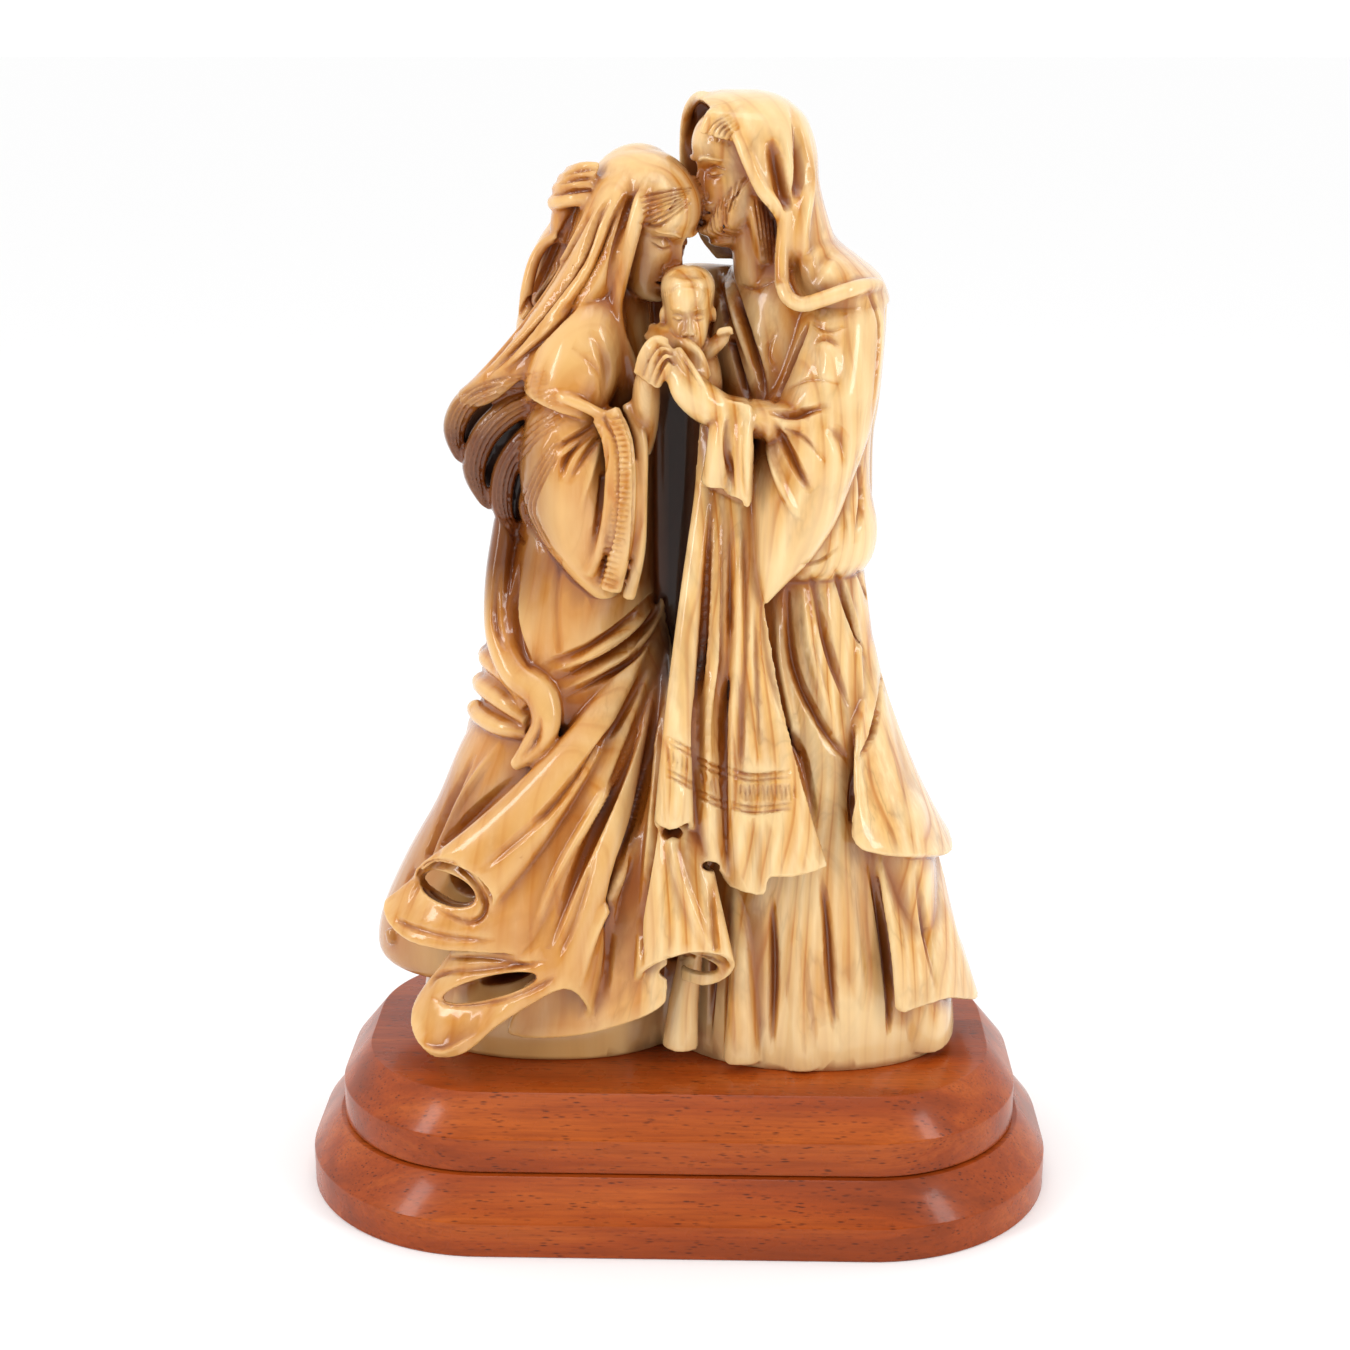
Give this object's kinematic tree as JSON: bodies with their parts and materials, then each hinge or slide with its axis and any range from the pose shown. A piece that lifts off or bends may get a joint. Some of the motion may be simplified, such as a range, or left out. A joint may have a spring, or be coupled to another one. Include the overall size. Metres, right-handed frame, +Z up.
{
  "type": "holy family statue",
  "caption": "Carved olive wood group of a mother and father embracing over a child, in long robes, on a stepped two-board plinth with rounded ends.",
  "frame": {"origin": "centre of the underside of the lower plinth board, on the surface it stands on", "axes": "+Z up, -Y towards the viewer at the front, +X to the viewer's right"},
  "size_m": [0.242, 0.1432, 0.3479],
  "materials": {
    "olive_wood": "gloss lacquer",
    "plinth_upper_wood": "satin lacquer",
    "plinth_lower_wood": "satin lacquer"
  },
  "bodies": {
    "root": {"carved_group": "olive_wood", "plinth_upper": "plinth_upper_wood", "plinth_lower": "plinth_lower_wood"}
  },
  "joints": []
}
